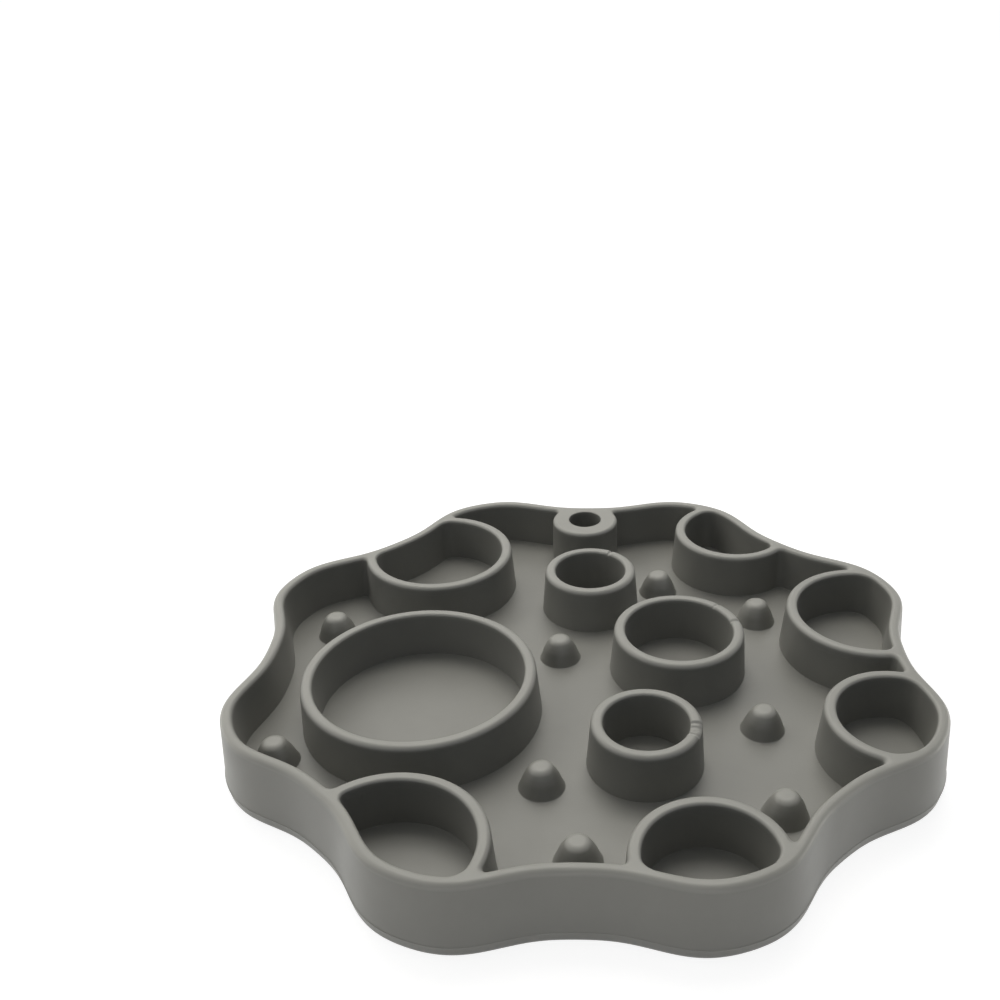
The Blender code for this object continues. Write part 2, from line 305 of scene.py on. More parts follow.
def outline_frame(angle):
    """Points of the scalloped outline and their unscaled tangents."""
    phase = LOBES * (angle - math.pi / 2)
    radius = lobe_radius(phase)
    flattening = FLATTENING_WAVES * LOBE_FLATTENING * np.sin(FLATTENING_WAVES * phase)
    slope = LOBES * (LOBE_DEPTH * np.sin(phase) - flattening)
    x = radius * np.cos(angle)
    y = SQUASH * radius * np.sin(angle)
    along_x = slope * np.cos(angle) - radius * np.sin(angle)
    along_y = SQUASH * (slope * np.sin(angle) + radius * np.cos(angle))
    return x, y, along_x, along_y


def outline_loop(inset):
    """The whole outline at one inset, or at one inset for each step."""
    angle = np.arange(OUTLINE_STEPS) * 2 * math.pi / OUTLINE_STEPS
    x, y, along_x, along_y = outline_frame(angle)
    length = np.hypot(along_x, along_y)
    return np.stack([x - inset * along_y / length, y + inset * along_x / length], axis=1)


def inset_at(x, y):
    """Distance inside the outline, cut off where it is deep inside."""
    angle = np.arctan2(y / SQUASH, x)
    radius = lobe_radius(LOBES * (angle - math.pi / 2))
    gap = radius - np.hypot(x, y / SQUASH)
    for _ in range(INSET_STEPS):
        at_x, at_y, along_x, along_y = outline_frame(angle)
        square = along_x**2 + along_y**2
        angle = angle - ((at_x - x) * along_x + (at_y - y) * along_y) / square
    at_x, at_y, along_x, along_y = outline_frame(angle)
    distance = ((y - at_y) * along_x - (x - at_x) * along_y) / np.hypot(along_x, along_y)
    return np.where(gap > DEEP, DEEP, distance)


def round_meet(first, second, radius):
    """Meet of two fields, positive where both are, with its corner rounded."""
    dip = np.hypot(np.maximum(radius - first, 0), np.maximum(radius - second, 0))
    return np.maximum(radius, np.minimum(first, second)) - dip


def hole_distance(x, y):
    """Distance from the axis of the hanging hole."""
    return np.hypot(x - HOLE[0], y - HOLE[1])


def lean_at(z):
    """One at the tray floor, nothing at the rim."""
    return (HEIGHT - z) / (HEIGHT - FLOOR)


def witness_at(z):
    """How far the fine mould line of the side cups stands proud at a height."""
    return WITNESS_PROUD if abs(z - HEIGHT + WITNESS_DROP) < WITNESS_HALF_TALL else 0.0


def tray_field(x, y, z, offset):
    """Positive over the open tray at a height, less an offset from its walls."""
    lean = lean_at(z)
    corner = max(LEAST_CORNER, CREVICE_ROUND - offset)
    field = inset_at(x, y) - WALL_TOP_INSET - WALL_INNER_DRAUGHT * lean - offset
    for across, along, radius in SIDE_CUPS.values():
        middle = plan((across, along))
        reach = radius + CUP_WALL / 2 + SIDE_CUP_DRAUGHT * lean + witness_at(z) + offset
        field = round_meet(field, np.hypot(x - middle[0], y - middle[1]) - reach, corner)
    boss = hole_distance(x, y) - BOSS_RADIUS - BOSS_DRAUGHT * lean - offset
    return round_meet(field, boss, corner)


def side_cup_field(x, y, z, offset):
    """Positive inside the side cups at a height, less an offset from their walls."""
    lean = lean_at(z)
    corner = max(LEAST_CORNER, POCKET_CORNER - offset)
    wall = inset_at(x, y) - WALL_TOP_INSET - WALL_INNER_DRAUGHT * lean - offset
    field = np.full_like(x, -DEEP)
    for across, along, radius in SIDE_CUPS.values():
        middle = plan((across, along))
        reach = radius - CUP_WALL / 2 - CUP_INNER_DRAUGHT * lean - witness_at(z) - offset
        cup = round_meet(wall, reach - np.hypot(x - middle[0], y - middle[1]), corner)
        field = np.maximum(field, cup)
    return field


def lick_rim_field(x, y):
    """Positive inside the foot of the lick rim and clear of the flat round the hanging hole."""
    rim = inset_at(x, y) - LICK_RIM_WIDTH
    return round_meet(rim, hole_distance(x, y) - LICK_BOSS_RADIUS, LICK_BOSS_FILLET) - RIDGE_FOOT


def groove_field(x, y):
    """Positive outside the foot of the border ridge."""
    ridge = inset_at(x, y) - GROOVE_INSET
    boss = hole_distance(x, y) - LICK_BOSS_RADIUS - GROOVE_WIDTH
    return -round_meet(ridge, boss, BORDER_CORNER) - RIDGE_FOOT


def ring_field(x, y):
    """Positive over the floor of the pockets, inside the feet of the rings and the border ridge."""
    border = inset_at(x, y) - BORDER_INSET
    boss = hole_distance(x, y) - LICK_BOSS_RADIUS - GROOVE_WIDTH - BORDER_WIDTH
    border = round_meet(border, boss, RIDGE_CORNER)
    floor = np.full_like(x, -DEEP)
    gap = np.full_like(x, DEEP)
    outsides = []
    for place in RING_PLACES:
        middle = (place[0] * RING_RADIUS, place[1] * RING_RADIUS)
        distance = np.hypot(x - middle[0], y - middle[1])
        outside = distance - RING_RADIUS
        pocket = POCKET_RADIUS - distance
        for earlier, other in outsides:
            if math.dist(earlier, middle) < POCKET_RADIUS + RING_RADIUS:
                pocket = round_meet(pocket, other, RIDGE_CORNER)
        outsides.append((middle, outside))
        floor = np.maximum(floor, pocket)
        gap = round_meet(gap, outside, RIDGE_CORNER)
    return round_meet(np.maximum(floor, gap), border, RIDGE_CORNER) - RIDGE_FOOT


def zero_loops(field):
    """Closed loops where a field crosses zero, its positive side on their left."""
    xs = np.arange(-HALF_WIDTH, HALF_WIDTH + GRID, GRID)
    ys = np.arange(-HALF_DEPTH, HALF_DEPTH + GRID, GRID)
    values = field(*np.meshgrid(xs, ys, indexing="ij"))
    inside = values > 0
    corners = np.stack([inside[:-1, :-1], inside[1:, :-1], inside[1:, 1:], inside[:-1, 1:]])
    mixed = np.argwhere(corners.any(axis=0) & ~corners.all(axis=0))
    follow = {}
    for i, j in mixed.tolist():
        edges = ((i, j, 0), (i + 1, j, 1), (i, j + 1, 0), (i, j, 1))
        signs = corners[:, i, j]
        for side in range(4):
            if signs[side] and not signs[(side + 1) % 4]:
                first = side
                while signs[first - 1]:
                    first -= 1
                follow[edges[side]] = edges[first - 1]
    loops = []
    while follow:
        start, edge = follow.popitem()
        loop = [start]
        while edge != start:
            loop.append(edge)
            edge = follow.pop(edge)
        loops.append(np.array([crossing(values, xs, ys, key) for key in loop]))
    return [loop for loop in loops if abs(loop_area(loop)) > LEAST_AREA]


def crossing(values, xs, ys, edge):
    """Point on one grid edge where the field is zero."""
    i, j, upright = edge
    step = (i, j + 1) if upright else (i + 1, j)
    share = values[i, j] / (values[i, j] - values[step])
    return xs[i] + share * (xs[step[0]] - xs[i]), ys[j] + share * (ys[step[1]] - ys[j])


def loop_area(loop):
    """Area of a closed loop, positive when it runs counter-clockwise."""
    after = np.roll(loop, -1, axis=0)
    return float(np.sum(loop[:, 0] * after[:, 1] - loop[:, 1] * after[:, 0]) / 2)


def inside_loop(loop, points):
    """Which points lie inside a closed loop."""
    after = np.roll(loop, -1, axis=0)
    x, y = points[:, :1], points[:, 1:]
    spans = (loop[:, 1] > y) != (after[:, 1] > y)
    rise = np.where(after[:, 1] == loop[:, 1], 1.0, after[:, 1] - loop[:, 1])
    cut = loop[:, 0] + (y - loop[:, 1]) * (after[:, 0] - loop[:, 0]) / rise
    return np.sum(spans & (x < cut), axis=1) % 2 == 1


def slope_at(points, field):
    """Slope of a field at each point."""
    x, y = points.T
    slope_x = field(x + SETTLE_REACH, y) - field(x - SETTLE_REACH, y)
    slope_y = field(x, y + SETTLE_REACH) - field(x, y - SETTLE_REACH)
    return np.stack([slope_x, slope_y], axis=1) / (2 * SETTLE_REACH)


def settle(points, field, steps=SETTLE_STEPS):
    """Move points along a field's slope until they lie on its zero line."""
    points = points.copy()
    for _ in range(steps):
        slope = slope_at(points, field)
        steep = np.maximum(np.sum(slope**2, axis=1), LEAST_STEEP)
        move = np.clip(field(*points.T) / steep, -SETTLE_LIMIT, SETTLE_LIMIT)
        points -= move[:, None] * slope
    return points


def settle_evenly(points, field):
    """Settle a loop and ease its points apart along it, so that none pass each other."""
    points = settle(points, field)
    for _ in range(EASE_STEPS):
        between = (np.roll(points, 1, axis=0) + np.roll(points, -1, axis=0)) / 2
        points = settle((points + between) / 2, field, 1)
    return settle(points, field)


def along_loop(points, places):
    """Points of a closed loop at given shares of its length."""
    closed = np.vstack([points, points[:1]])
    length = np.concatenate([[0.0], np.cumsum(np.linalg.norm(np.diff(closed, axis=0), axis=1))])
    shares = length / length[-1]
    return np.stack([np.interp(places, shares, closed[:, axis]) for axis in (0, 1)], axis=1)


def even_steps(points, field):
    """Resample a loop, closer where it bends, and settle it on its field."""
    closed = np.vstack([points, points[:1]])
    total = float(np.sum(np.linalg.norm(np.diff(closed, axis=0), axis=1)))
    count = int(total / DENSE_STEP)
    shares = np.arange(count) / count
    dense = settle(along_loop(points, shares), field)
    chord = np.roll(dense, -CHORD_REACH, axis=0) - np.roll(dense, CHORD_REACH, axis=0)
    heading = np.unwrap(np.arctan2(chord[:, 1], chord[:, 0]))
    turn = np.abs(np.roll(heading, -TURN_REACH) - np.roll(heading, TURN_REACH))
    turn = np.minimum(turn, np.abs(turn - 2 * math.pi)) / (2 * TURN_REACH * total / count)
    wanted = np.clip(STEP_TURN / np.maximum(turn, LEAST_TURN), FINE_STEP, COARSE_STEP)
    density = 1 / wanted
    window = 2 * SMOOTH_REACH + 1
    around = np.concatenate([density[-SMOOTH_REACH:], density, density[:SMOOTH_REACH]])
    density = np.convolve(around, np.ones(window) / window, "valid")
    weight = np.concatenate([[0.0], np.cumsum(density)])
    steps = int(weight[-1] * total / count) + 1
    even = np.arange(steps) * weight[-1] / steps
    places = np.interp(even, weight, np.arange(count + 1) / count)
    return settle(along_loop(dense, places), field)


def area_normals(mesh):
    """Normal of each vertex, weighted by the area of its faces, so that flat faces stay flat."""
    normals = np.zeros((len(mesh.vertices), 3))
    for polygon in mesh.polygons:
        normals[list(polygon.vertices)] += polygon.area * np.array(polygon.normal)
    return normals / np.linalg.norm(normals, axis=1, keepdims=True)


def add_object(name, data):
    """Object in the scene for a mesh, a light or a camera."""
    added = bpy.data.objects.new(name, data)
    bpy.context.scene.collection.objects.link(added)
    return added


def face_outwards(mesh):
    """Turn the faces of a closed mesh outwards."""
    skin = bmesh.new()
    skin.from_mesh(mesh)
    bmesh.ops.recalc_face_normals(skin, faces=skin.faces)
    skin.to_mesh(mesh)
    skin.free()


class Shell:
    """Closed skin put together from rings, the bands between them and flat faces."""

    def __init__(self):
        self.points = []
        self.faces = []

    def ring(self, loop, z):
        """Points of one loop at a height. Returns their indices."""
        start = len(self.points)
        self.points.extend((x, y, z) for x, y in loop)
        return list(range(start, start + len(loop)))

    def band(self, first, second):
        """Faces between two rings of as many points."""
        count = len(first)
        for step in range(count):
            after = (step + 1) % count
            self.faces.append((first[step], first[after], second[after], second[step]))

    def skirt(self, rows):
        """Rings joined in order, given as (loop, height). Returns the first and last ring."""
        rings = [self.ring(loop, z) for loop, z in rows]
        for first, second in zip(rings, rings[1:]):
            self.band(first, second)
        return rings[0], rings[-1]

    def flat(self, rings):
        """Flat face bounded by one outer ring and any number of inner rings."""
        indices = [index for ring in rings for index in ring]
        edges = []
        for ring in rings:
            start = len(edges)
            count = len(ring)
            edges.extend((start + step, start + (step + 1) % count) for step in range(count))
        places = np.array([self.points[index][:2] for index in indices])
        corners = [Vector(place) for place in places]
        _, _, faces, origins, _, _ = delaunay_2d_cdt(corners, edges, [], 1, FLAT_MERGE)
        corners = np.array([[origins[corner][0] for corner in face] for face in faces])
        middles = places[corners].mean(axis=1)
        keep = np.ones(len(corners), dtype=bool)
        for ring in rings[1:]:
            keep &= ~inside_loop(np.array([self.points[index][:2] for index in ring]), middles)
        for face in corners[keep].tolist():
            self.faces.append(tuple(indices[corner] for corner in face))

    def finish(self, name, material):
        """Mesh object in metres at the origin, smooth, with its faces outwards."""
        mesh = bpy.data.meshes.new(name)
        mesh.from_pydata([(x * MM, y * MM, z * MM) for x, y, z in self.points], [], self.faces)
        face_outwards(mesh)
        mesh.shade_smooth()
        mesh.normals_split_custom_set_from_vertices(area_normals(mesh))
        mesh.materials.append(material)
        return add_object(name, mesh)


def quarter(steps):
    """Sines and cosines of a quarter turn, from nothing to one."""
    angles = [math.pi / 2 * step / steps for step in range(steps + 1)]
    return [(math.sin(angle), math.cos(angle)) for angle in angles]


def cup_side_rows(rounding):
    """Height and offset of each ring of a cup-side wall, from its rounded rim down to the floor."""
    shoulder = HEIGHT - rounding
    rows = []
    for sine, cosine in reversed(quarter(ROUND_STEPS)):
        rows.append((shoulder + rounding * sine, -rounding * (1 - cosine)))
    line = HEIGHT - WITNESS_DROP
    rows += [(line + step, 0.0) for step in WITNESS_STEPS]
    rows += [(FLOOR + share * (line - FLOOR), 0.0) for share in CUP_WALL_SHARES]
    for sine, cosine in quarter(ROUND_STEPS):
        rows.append((FLOOR + FOOT_ROUND * (1 - sine), FOOT_ROUND * (1 - cosine)))
    return rows


def lick_side_rows():
    """Height and offset of each ring of a lick-side ridge, from its top up to the lick floor."""
    rows = []
    for sine, cosine in quarter(RIDGE_STEPS):
        rows.append((RIDGE_ROUND * (1 - cosine), -RIDGE_FOOT - RIDGE_ROUND * (1 - sine)))
    rows.append((LICK_FLOOR / 2, -RIDGE_FOOT))
    for sine, cosine in quarter(RIDGE_STEPS):
        rows.append((LICK_FLOOR - RIDGE_FOOT * (1 - sine), -RIDGE_FOOT * cosine))
    return rows


def settled_rows(base, rows, field, start):
    """Loops for the given rows, each settled from its neighbour, outwards from a starting row."""
    loops = [None] * len(rows)
    loops[start] = base
    order = list(range(start + 1, len(rows))) + list(range(start - 1, -1, -1))
    for index in order:
        before = index - 1 if index > start else index + 1
        z, offset = rows[index]
        loops[index] = settle_evenly(loops[before], lambda x, y: field(x, y, z, offset))
    return [(loop, z) for loop, (z, _) in zip(loops, rows)]


def parallel_rows(base, rows, field):
    """Loops for the given rows, each at its offset beside a loop that lies on its field."""
    slope = slope_at(base, field)
    normal = slope / np.linalg.norm(slope, axis=1, keepdims=True)
    return [(base + offset * normal, z) for z, offset in rows]


def outer_rows():
    """Rings of the outer wall, from the rim down past the parting line to the rest plane."""
    shoulder = HEIGHT - OUTER_RIM_ROUND
    rows = []
    for sine, cosine in reversed(quarter(ROUND_STEPS)):
        inset = WALL_DRAUGHT + OUTER_RIM_ROUND * (1 - cosine)
        rows.append((inset, shoulder + OUTER_RIM_ROUND * sine))
    base = OUTER_MARGIN + FLASH_PROUD
    for share in WALL_SHARES:
        z = PARTING + FLASH_TALL + share * (shoulder - PARTING - FLASH_TALL)
        rows.append((base + (WALL_DRAUGHT - base) * share, z))
    for tall, back in FLASH_SECTION:
        rows.append((OUTER_MARGIN + back * FLASH_PROUD, PARTING + tall * FLASH_TALL))
    for sine, cosine in quarter(ROUND_STEPS):
        inset = base + LICK_DRAUGHT + LICK_ROUND * (1 - cosine)
        rows.append((inset, LICK_ROUND * (1 - sine)))
    return [(outline_loop(inset), z) for inset, z in rows]


def hole_rows():
    """Rings of the hanging hole, with both edges rounded."""
    angle = np.arange(HOLE_STEPS) * 2 * math.pi / HOLE_STEPS
    ring = np.stack([np.cos(angle), np.sin(angle)], axis=1)
    rows = []
    for sine, cosine in reversed(quarter(HOLE_ROUND_STEPS)):
        rows.append((HOLE_RADIUS + HOLE_ROUND * (1 - cosine), HEIGHT - HOLE_ROUND * (1 - sine)))
    rows.append((HOLE_RADIUS, HEIGHT / 2))
    for sine, cosine in quarter(HOLE_ROUND_STEPS):
        rows.append((HOLE_RADIUS + HOLE_ROUND * (1 - cosine), HOLE_ROUND * (1 - sine)))
    return [(np.array(HOLE) + radius * ring, z) for radius, z in rows]


def make_body(material):
    """The moulding itself: outer wall, side cups, hanging boss, tray floor and lick rim."""
    shell = Shell()
    top_rim, rest_rim = shell.skirt(outer_rows())
    hole_top, hole_bottom = shell.skirt(hole_rows())
    rims = [top_rim, hole_top]
    for field, rounding in ((tray_field, TRAY_RIM_ROUND), (side_cup_field, INNER_RIM_ROUND)):
        rows = cup_side_rows(rounding)
        shoulder = rows[ROUND_STEPS][0]

        def shoulder_field(x, y):
            return field(x, y, shoulder, 0.0)

        for loop in zero_loops(shoulder_field):
            base = even_steps(loop, shoulder_field)
            rim, floor = shell.skirt(settled_rows(base, rows, field, ROUND_STEPS))
            rims.append(rim)
            shell.flat([floor])
    shell.flat(rims)
    loop = max(zero_loops(lick_rim_field), key=loop_area)
    base = even_steps(loop, lick_rim_field)
    edge, floor = shell.skirt(parallel_rows(base, lick_side_rows(), lick_rim_field))
    shell.flat([floor])
    shell.flat([rest_rim, edge, hole_bottom])
    return shell.finish("silicone_body", material)


def make_lick_lattice(material):
    """Border ridge and rings of the lick side as one network of ridges."""
    shell = Shell()
    rows = lick_side_rows()
    rows[-1] = (LICK_FLOOR + SINK, rows[-1][1])
    rows.append((LICK_FLOOR + BURY, rows[-1][1]))
    ridges = [(min(zero_loops(groove_field), key=loop_area), groove_field)]
    ridges += [(loop, ring_field) for loop in zero_loops(ring_field)]
    tops = []
    feet = []
    for loop, field in ridges:
        base = settle_evenly(even_steps(loop, field), field)
        top, foot = shell.skirt(parallel_rows(base, rows, field))
        tops.append(top)
        feet.append(foot)
    shell.flat(tops)
    shell.flat(feet)
    return shell.finish("lick_lattice", material)


class Nodes:
    """Node tree whose nodes get their settings, constants and links as they are added."""

    def __init__(self, tree):
        self.tree = tree

    def node(self, kind, inputs=None, **settings):
        """New node, with a constant or a link for each input that is given."""
        node = self.tree.nodes.new(kind)
        for key, value in settings.items():
            setattr(node, key, value)
        self.feed(node, inputs or {})
        return node

    def feed(self, node, inputs):
        """Constants and links for the inputs of a node."""
        for key, value in inputs.items():
            if isinstance(value, bpy.types.NodeSocket):
                self.tree.links.new(value, node.inputs[key])
            else:
                node.inputs[key].default_value = value

    def maths(self, first, second, operation="ADD"):
        """Result of one operation on two values."""
        return self.node("ShaderNodeMath", {0: first, 1: second}, operation=operation).outputs[0]

    def spread(self, value, ends, results):
        """Value taken evenly from one pair of ends to another, and held past them."""
        spans = {"From Min": ends[0], "From Max": ends[1], "To Min": results[0], "To Max": results[1]}
        return self.node("ShaderNodeMapRange", {"Value": value, **spans}).outputs["Result"]


class Tree(Nodes):
    """Geometry Nodes tree with named sizes as inputs and one mesh as output."""

    def __init__(self, name):
        super().__init__(bpy.data.node_groups.new(name, "GeometryNodeTree"))
        interface = self.tree.interface
        interface.new_socket("Geometry", in_out="INPUT", socket_type="NodeSocketGeometry")
        interface.new_socket("Geometry", in_out="OUTPUT", socket_type="NodeSocketGeometry")
        self.sizes = self.tree.nodes.new("NodeGroupInput")
        self.result = self.tree.nodes.new("NodeGroupOutput")
        self.identifiers = {}

    def size(self, name, kind="NodeSocketFloat"):
        """New named input of the tree."""
        socket = self.tree.interface.new_socket(name, in_out="INPUT", socket_type=kind)
        self.identifiers[name] = socket.identifier
        return self.sizes.outputs[name]

    def pick(self, kind, values):
        """One value for each point, by its index."""
        switch = self.node("GeometryNodeIndexSwitch", data_type=kind)
        while len(switch.index_switch_items) < len(values):
            switch.index_switch_items.new()
        self.feed(switch, {"Index": self.node("GeometryNodeInputIndex").outputs[0]})
        self.feed(switch, {str(number): value for number, value in enumerate(values)})
        return switch.outputs[0]

    def mesh(self, kind, inputs, **settings):
        """Mesh or curve that a new node gives."""
        return self.node("GeometryNode" + kind, inputs, **settings).outputs[0]

    def turned(self, corners, radius, steps):
        """Closed section of (offset from the radius, height, rounding) corners turned about Z."""
        places = []
        for offset, height, _ in corners:
            down = self.maths(height, -1.0, "MULTIPLY")
            places.append(self.node("ShaderNodeCombineXYZ", {"X": offset, "Y": down}).outputs[0])
        place = self.pick("VECTOR", places)
        rounding = self.pick("FLOAT", [corner[2] for corner in corners])
        line = self.mesh("MeshLine", {"Count": len(corners)})
        curve = self.mesh("MeshToCurve", {"Mesh": line})
        curve = self.mesh("SetPosition", {"Geometry": curve, "Position": place})
        curve = self.mesh("SetSplineCyclic", {0: curve, "Cyclic": True})
        fillets = {"Radius": rounding, "Count": FILLET_STEPS, "Limit Radius": True}
        section = self.mesh("FilletCurve", {"Curve": curve, **fillets}, mode="POLY")
        circle = self.mesh("CurvePrimitiveCircle", {"Resolution": steps, "Radius": radius})
        circle = self.mesh("SetCurveNormal", {0: circle}, mode="Z_UP")
        skin = self.mesh("CurveToMesh", {"Curve": circle, "Profile Curve": section})
        return self.mesh("MergeByDistance", {0: skin, "Distance": TURNED_MERGE})

    def close(self, mesh, material):
        """End of the tree: real mesh, smooth, with its material."""
        mesh = self.mesh("RealizeInstances", {0: mesh})
        mesh = self.mesh("SetShadeSmooth", {0: mesh})
        mesh = self.mesh("SetMaterial", {0: mesh, "Material": material})
        self.feed(self.result, {0: mesh})

    def make(self, name, points, sizes):
        """Plain mesh object from the tree, run on a few points with its sizes set."""
        seed = bpy.data.meshes.new(name + "_places")
        seed.from_pydata(points, [], [])
        grown = add_object(name + "_grown", seed)
        modifier = grown.modifiers.new("grow", "NODES")
        modifier.node_group = self.tree
        for key, value in sizes.items():
            modifier[self.identifiers[key]] = value
        graph = bpy.context.evaluated_depsgraph_get()
        mesh = bpy.data.meshes.new_from_object(grown.evaluated_get(graph))
        bpy.data.objects.remove(grown)
        mesh.name = name
        face_outwards(mesh)
        return add_object(name, mesh)


def cup_tree(material):
    """Tree for a round cup: rounded rim, leaning walls and a rounded foot on both sides."""
    tree = Tree("round_cup")
    radius = tree.size("Radius")
    half = tree.maths(tree.size("Wall"), 0.5, "MULTIPLY")
    top = tree.size("Top")
    floor = tree.size("Floor")
    inner_rim = tree.size("Inner rim rounding")
    outer_rim = tree.size("Outer rim rounding")
    foot = tree.size("Foot rounding")
    outer = tree.maths(half, tree.size("Outer lean"))
    inner = tree.maths(tree.maths(half, tree.size("Inner lean")), -1.0, "MULTIPLY")
    flare = tree.maths(foot, FLARE, "MULTIPLY")
    outer_end = tree.maths(outer, flare)
    inner_end = tree.maths(inner, flare, "SUBTRACT")
    buried = tree.maths(floor, BURY * MM, "SUBTRACT")
    corners = [
        (inner_end, floor, 0.0),
        (inner, floor, foot),
        (tree.maths(half, -1.0, "MULTIPLY"), top, inner_rim),
        (half, top, outer_rim),
        (outer, floor, foot),
        (outer_end, floor, 0.0),
        (outer_end, buried, 0.0),
        (inner_end, buried, 0.0),
    ]
    tree.close(tree.turned(corners, radius, tree.size("Steps", "NodeSocketInt")), material)
    return tree


def make_cup(tree, name, cup):
    """One free-standing cup."""
    middle = plan(cup)
    piece = tree.make(
        name + "_wall",
        [(0.0, 0.0, 0.0)],
        {
            "Radius": cup[2] * MM,
            "Wall": CUP_WALL * MM,
            "Top": HEIGHT * MM,
            "Floor": (FLOOR - SINK) * MM,
            "Inner rim rounding": INNER_RIM_ROUND * MM,
            "Outer rim rounding": OUTER_RIM_ROUND * MM,
            "Foot rounding": FOOT_ROUND * MM,
            "Outer lean": CUP_OUTER_DRAUGHT * MM,
            "Inner lean": CUP_INNER_DRAUGHT * MM,
            "Steps": CUP_STEPS,
        },
    )
    for vertex in piece.data.vertices:
        for angle, half_width, depth in NICKS.get(name, ()):
            turn = math.atan2(vertex.co.y, vertex.co.x) - math.radians(angle)
            away = abs(math.remainder(turn, 2 * math.pi)) * cup[2] / half_width
            share = max(0.0, 1 - (HEIGHT - vertex.co.z / MM) / NICK_REACH)
            vertex.co.z -= depth * MM * share * max(0.0, 1 - away**2)
        vertex.co.x += middle[0] * MM
        vertex.co.y += middle[1] * MM
    return piece


def make_cones(material):
    """All the cones on the tray floor, one shape set at every place."""
    tree = Tree("floor_cones")
    foot = tree.size("Foot radius")
    waist = tree.size("Waist radius")
    tip = tree.size("Tip radius")
    floor = tree.size("Floor")
    height = tree.size("Height")
    waist_height = tree.size("Waist height")
    tip_round = tree.size("Tip rounding")
    waist_round = tree.size("Waist rounding")
    foot_round = tree.size("Foot rounding")
    centre = tree.maths(foot, -1.0, "MULTIPLY")
    top = tree.maths(floor, height)
    flare = tree.maths(foot_round, FLARE, "MULTIPLY")
    buried = tree.maths(floor, BURY * MM, "SUBTRACT")
    corners = [
        (centre, top, 0.0),
        (tree.maths(tip, foot, "SUBTRACT"), top, tip_round),
        (tree.maths(waist, foot, "SUBTRACT"), tree.maths(floor, waist_height), waist_round),
        (0.0, floor, foot_round),
        (flare, floor, 0.0),
        (flare, buried, 0.0),
        (centre, buried, 0.0),
    ]
    cone = tree.turned(corners, foot, tree.size("Steps", "NodeSocketInt"))
    points = tree.sizes.outputs["Geometry"]
    tree.close(tree.mesh("InstanceOnPoints", {"Points": points, "Instance": cone}), material)
    places = [(x * MM, y * MM, 0.0) for x, y in map(plan, CONE_PLACES)]
    return tree.make(
        "floor_cones",
        places,
        {
            "Foot radius": CONE_FOOT * MM,
            "Waist radius": CONE_WAIST * MM,
            "Tip radius": CONE_TIP * MM,
            "Floor": (FLOOR - SINK) * MM,
            "Height": CONE_HEIGHT * MM,
            "Waist height": CONE_WAIST_HEIGHT * MM,
            "Tip rounding": CONE_TIP_ROUND * MM,
            "Waist rounding": CONE_WAIST_ROUND * MM,
            "Foot rounding": CONE_FOOT_ROUND * MM,
            "Steps": CONE_STEPS,
        },
    )


def silicone(name, top, highlight_drops):
    """Matt grey silicone: faint mottling, tops painted lighter as a painted highlight, uneven sheen
    and a very fine skin.
    """
    material = bpy.data.materials.new(name)
    material.use_nodes = True
    shading = Nodes(material.node_tree)
    place = shading.node("ShaderNodeTexCoord").outputs["Object"]

    def noise(scale, detail, roughness):
        sizes = {"Scale": scale, "Detail": detail, "Roughness": roughness}
        return shading.node("ShaderNodeTexNoise", {"Vector": place, **sizes}).outputs["Fac"]

    mottle = shading.node("ShaderNodeValToRGB", {"Fac": noise(*MOTTLE_NOISE)})
    for stop, (position, colour) in zip(mottle.color_ramp.elements, MOTTLE):
        stop.position = position
        stop.color = colour
    height = shading.node("ShaderNodeSeparateXYZ", {"Vector": place}).outputs["Z"]
    # Painted highlight: colour lightened towards the top of the rims and cone tips, standing in for
    # light catching them
    heights = [(top - drop) * MM for drop in highlight_drops]
    paler = shading.spread(height, heights, (1.0, PAINTED_HIGHLIGHT_GAIN))
    colours = {"Color": mottle.outputs["Color"], "Value": paler}
    skin = {"Height": noise(*SKIN_NOISE), "Strength": SKIN_STRENGTH, "Distance": SKIN_DEPTH}
    shading.feed(
        material.node_tree.nodes["Principled BSDF"],
        {
            "Base Color": shading.node("ShaderNodeHueSaturation", colours).outputs["Color"],
            "Roughness": shading.spread(noise(*SHEEN_NOISE), WHOLE, ROUGHNESS),
            "Normal": shading.node("ShaderNodeBump", skin).outputs["Normal"],
            "IOR": SILICONE_IOR,
            "Specular IOR Level": SILICONE_SPECULAR,
        },
    )
    return material


def camera_ray(shading):
    """One for what the camera sees directly, in a gloss or through glass."""
    path = shading.node("ShaderNodeLightPath").outputs
    seen = path["Is Camera Ray"]
    for name in ("Is Glossy Ray", "Is Transmission Ray"):
        seen = shading.maths(seen, path[name], "MAXIMUM")
    return seen


def make_floor():
    """Pale floor under the object, white to the camera, that keeps the shadow."""
    mesh = bpy.data.meshes.new("studio_floor")
    corners = [(-1, -1), (1, -1), (1, 1), (-1, 1)]
    corners = [(x * FLOOR_REACH, y * FLOOR_REACH, FLOOR_LEVEL) for x, y in corners]
    mesh.from_pydata(corners, [], [(0, 1, 2, 3)])
    material = bpy.data.materials.new("studio_white")
    material.use_nodes = True
    material.node_tree.nodes.clear()
    shading = Nodes(material.node_tree)
    paper = shading.node("ShaderNodeBsdfDiffuse", {"Color": PAPER}).outputs[0]
    veil = shading.node("ShaderNodeBsdfDiffuse", {"Color": VEIL}).outputs[0]
    place = shading.node("ShaderNodeTexCoord").outputs["Object"]
    away = shading.node("ShaderNodeVectorMath", {0: place}, operation="LENGTH").outputs["Value"]
    strength = shading.spread(away, GLOW_REACH, GLOW)
    glow = shading.node("ShaderNodeEmission", {"Strength": strength}).outputs[0]
    seen = shading.node("ShaderNodeAddShader", {0: veil, 1: glow}).outputs[0]
    inputs = {0: camera_ray(shading), 1: paper, 2: seen}
    surface = shading.node("ShaderNodeMixShader", inputs).outputs[0]
    shading.node("ShaderNodeOutputMaterial", {"Surface": surface})
    mesh.materials.append(material)
    floor = add_object("studio_floor", mesh)


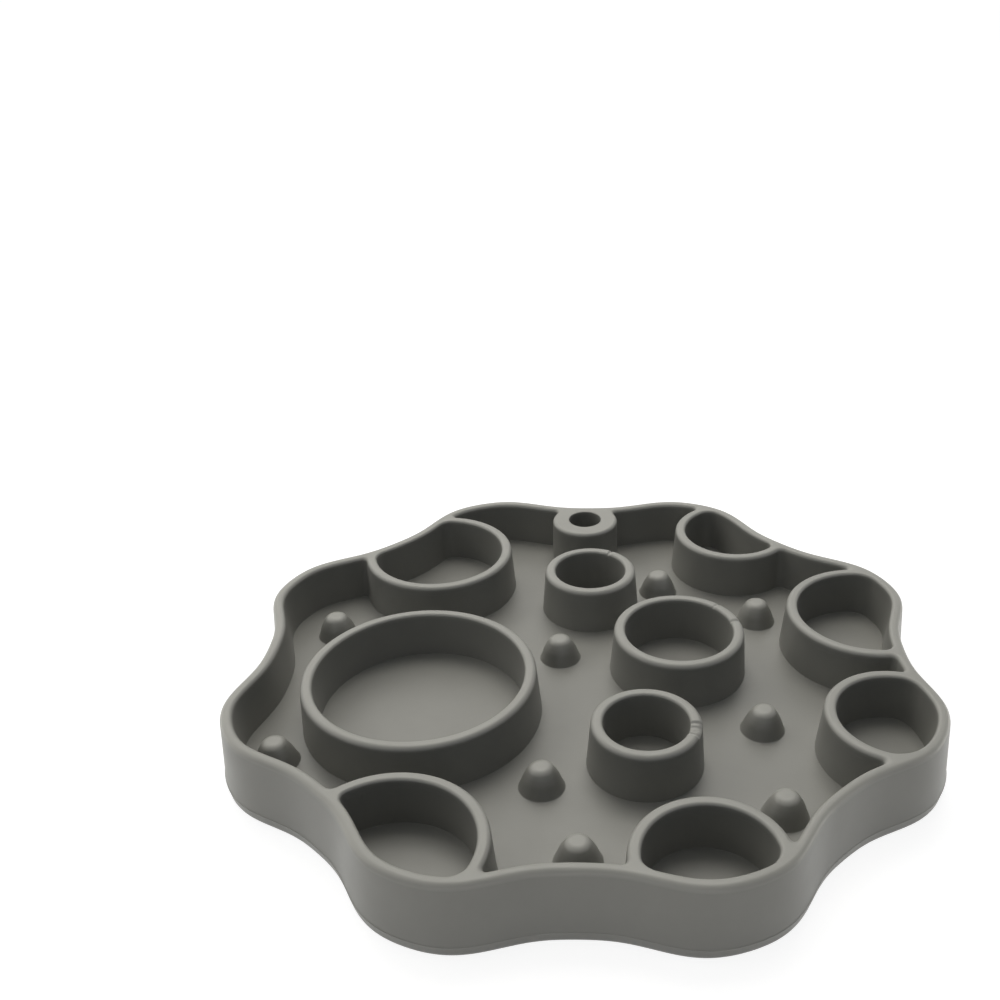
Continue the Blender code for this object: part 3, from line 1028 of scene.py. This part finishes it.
def make_world():
    """Cool even fill light, white where the camera looks past the floor."""
    world = bpy.data.worlds.new("studio")
    bpy.context.scene.world = world
    world.use_nodes = True
    shading = Nodes(world.node_tree)
    seen = camera_ray(shading)
    tints = {MIX_FACTOR: seen, MIX_FIRST_COLOUR: FILL_COLOUR, MIX_SECOND_COLOUR: WHITE}
    tint = shading.node("ShaderNodeMix", tints, data_type="RGBA")
    shading.feed(
        world.node_tree.nodes["Background"],
        {
            "Color": tint.outputs[MIX_COLOUR],
            "Strength": shading.spread(seen, WHOLE, (FILL_STRENGTH, 1.0)),
        },
    )


def add_softbox(name, place, size, power):
    """Area light aimed at the middle of the mat, unseen by the camera."""
    lamp = bpy.data.lights.new(name, "AREA")
    lamp.shape = "RECTANGLE"
    lamp.size, lamp.size_y = size
    lamp.energy = power
    lamp.color = LIGHT_COLOUR
    light = add_object(name, lamp)
    light.location = place
    light.visible_camera = False
    aim = Vector(LIGHT_TARGET) - Vector(place)
    light.rotation_euler = aim.to_track_quat("-Z", "Y").to_euler()


def make_camera():
    """Camera of the view that shows the cup side."""
    data = bpy.data.cameras.new("camera")
    data.lens = CAMERA_LENS
    data.sensor_width = CAMERA_SENSOR
    data.shift_x, data.shift_y = CAMERA_SHIFT
    data.clip_start = CAMERA_CLIP * MM
    camera = add_object("camera", data)
    camera.location = [value * MM for value in CAMERA_PLACE]
    camera.rotation_euler = [math.radians(value) for value in CAMERA_TURN]
    bpy.context.scene.camera = camera


bpy.context.scene.view_settings.view_transform = "Standard"
make_camera()
make_world()
make_floor()
for lamp_name, lamp_sizes in SOFTBOXES.items():
    add_softbox(lamp_name, *lamp_sizes)

# Both silicones get a painted highlight: their tops are painted lighter
grey = silicone("grey_silicone", HEIGHT, RIM_HIGHLIGHT_DROPS)
cone_grey = silicone("cone_silicone", FLOOR + CONE_HEIGHT, TIP_HIGHLIGHT_DROPS)
pieces = {
    make_body(grey): ["floor_web", "outer_wall", "lick_rim", "hanging_boss", *SIDE_CUPS],
    make_lick_lattice(grey): ["border_ridge", "ring_lattice"],
    make_cones(cone_grey): [f"cone_nub_{number}" for number in range(1, len(CONE_PLACES) + 1)],
}
cups = cup_tree(grey)
for cup_name, cup_size in FREE_CUPS.items():
    pieces[make_cup(cups, cup_name, cup_size)] = [cup_name]
for piece, nodes in pieces.items():
    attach(piece, "root")
    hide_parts(*nodes)
